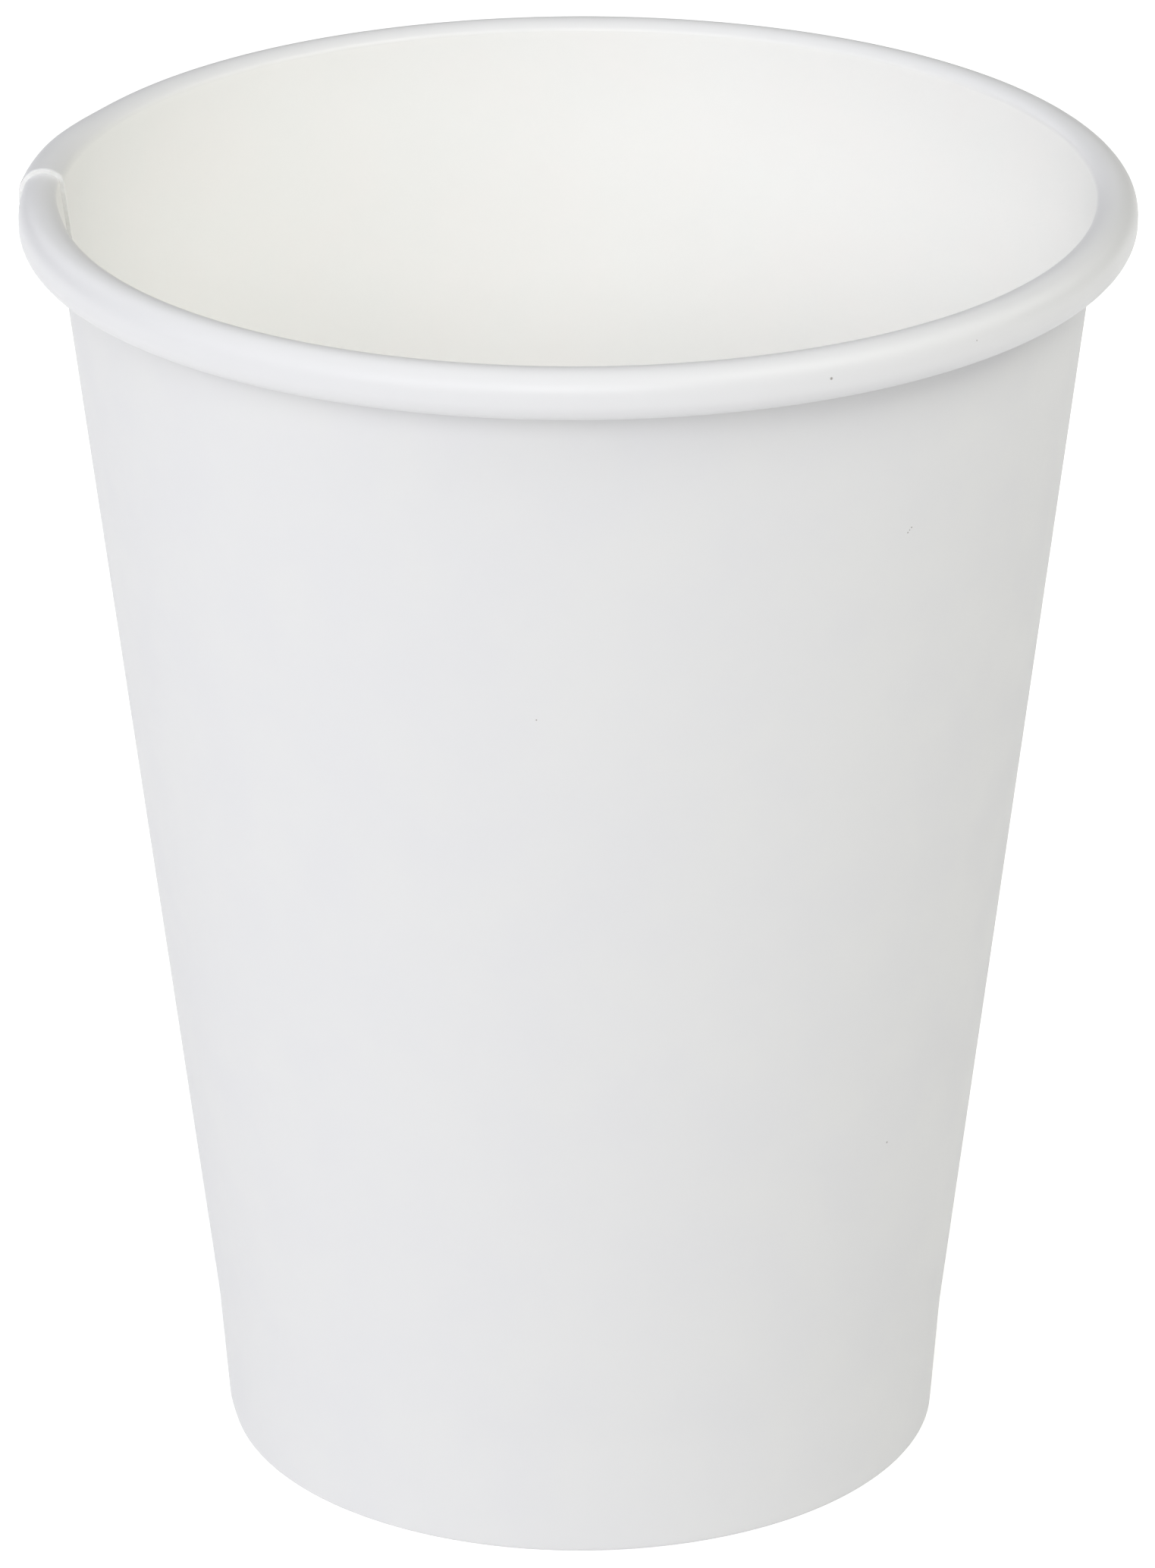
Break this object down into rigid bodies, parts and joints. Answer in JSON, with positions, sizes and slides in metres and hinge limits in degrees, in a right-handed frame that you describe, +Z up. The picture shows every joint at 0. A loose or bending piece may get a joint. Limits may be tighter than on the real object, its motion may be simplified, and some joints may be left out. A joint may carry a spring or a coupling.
{
  "type": "paper coffee cup",
  "caption": "Tapered single-wall paper cup with a rolled rim, a lapped side seam and a folded foot around a recessed base disc.",
  "frame": {"origin": "centre of the ring that the cup stands on, at the table", "axes": "+Z up along the cup's axis, +Y away from the viewer of the picture, +X to its right; the side seam is at 175.5 degrees anticlockwise from +X seen from above"},
  "size_m": [0.0902, 0.09, 0.1085],
  "materials": {
    "wall_board": "smooth white clay-coated board outside, ivory polythene-coated board inside",
    "base_board": "polythene-coated board"
  },
  "bodies": {
    "root": {"side_wall": "wall_board", "base_disc": "base_board"}
  },
  "joints": []
}
